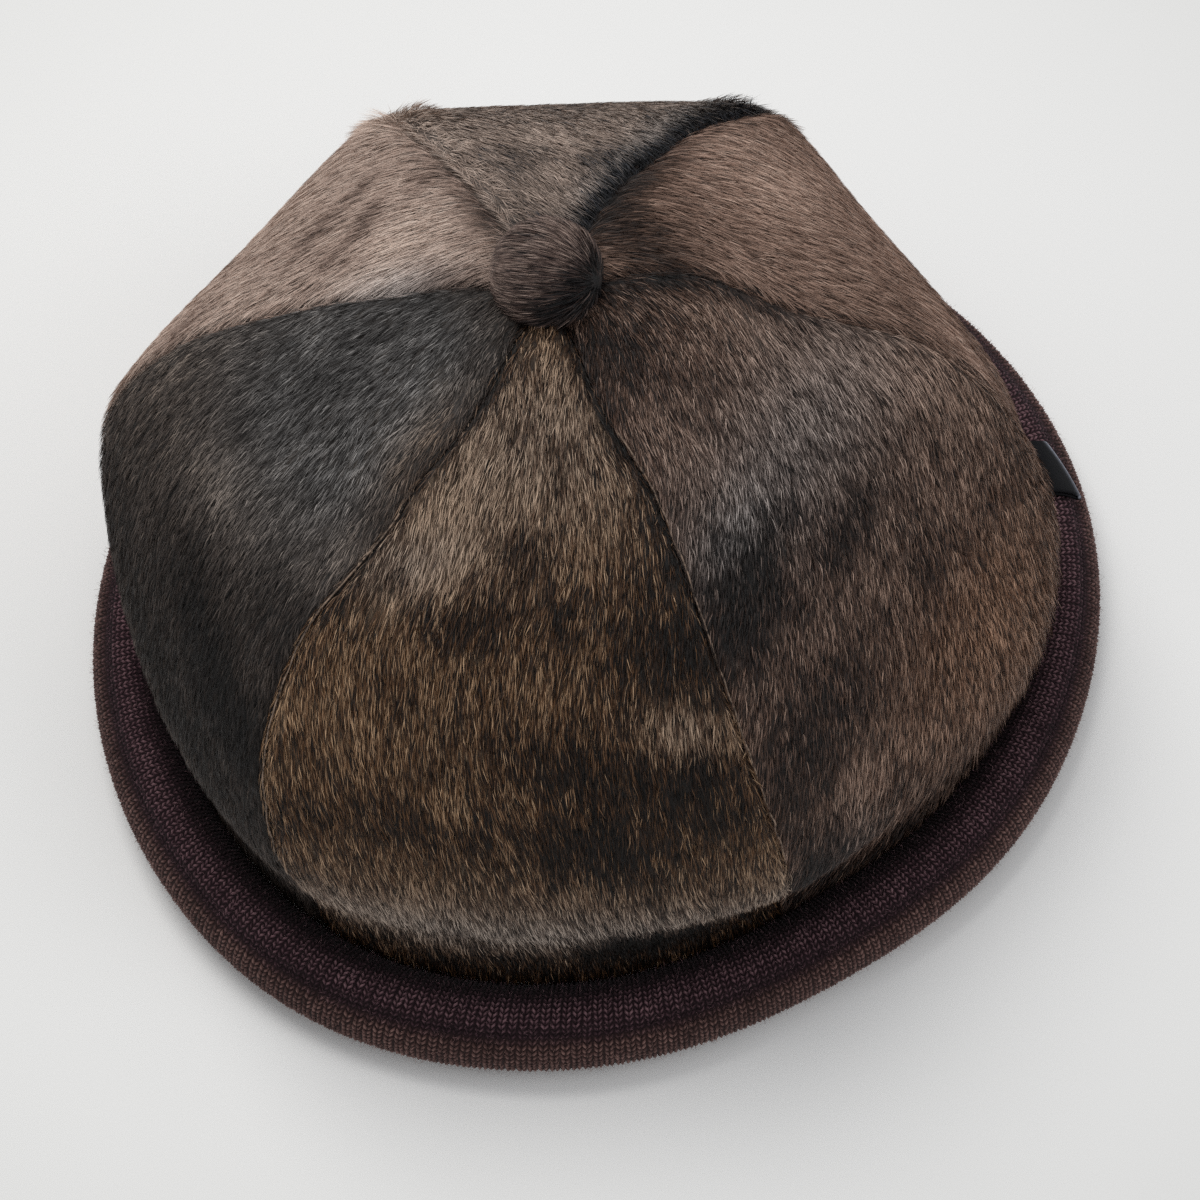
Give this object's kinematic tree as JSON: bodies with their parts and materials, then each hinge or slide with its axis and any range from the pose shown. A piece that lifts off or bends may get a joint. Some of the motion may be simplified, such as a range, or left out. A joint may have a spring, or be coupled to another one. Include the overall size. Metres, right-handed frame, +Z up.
{
  "type": "docker cap",
  "caption": "Brimless docker cap with a domed crown of hair-on hide gores, a covered top button, a rolled knit rim and a small ribbon tab.",
  "frame": {"origin": "centre of the rim on the surface that the cap rests on", "axes": "+Z up through the crown, -Y towards the side seen in front, +X towards the ribbon tab"},
  "size_m": [0.2279, 0.2277, 0.1354],
  "materials": {
    "hide_front": "short brown brindled hair",
    "hide_right_front": "short brown-grey hair",
    "hide_right_back": "short reddish taupe hair",
    "hide_back": "short taupe hair",
    "hide_left_back": "short pale beige hair",
    "hide_left_front": "short charcoal hair",
    "hide_button": "short dark brown hair",
    "knit": "fine matt aubergine-brown knit",
    "ribbon": "black woven ribbon"
  },
  "bodies": {
    "root": {"gore_front": "hide_front", "gore_right_front": "hide_right_front", "gore_right_back": "hide_right_back", "gore_back": "hide_back", "gore_left_back": "hide_left_back", "gore_left_front": "hide_left_front", "top_button": "hide_button", "knit_roll": "knit", "side_tab": "ribbon"}
  },
  "joints": []
}
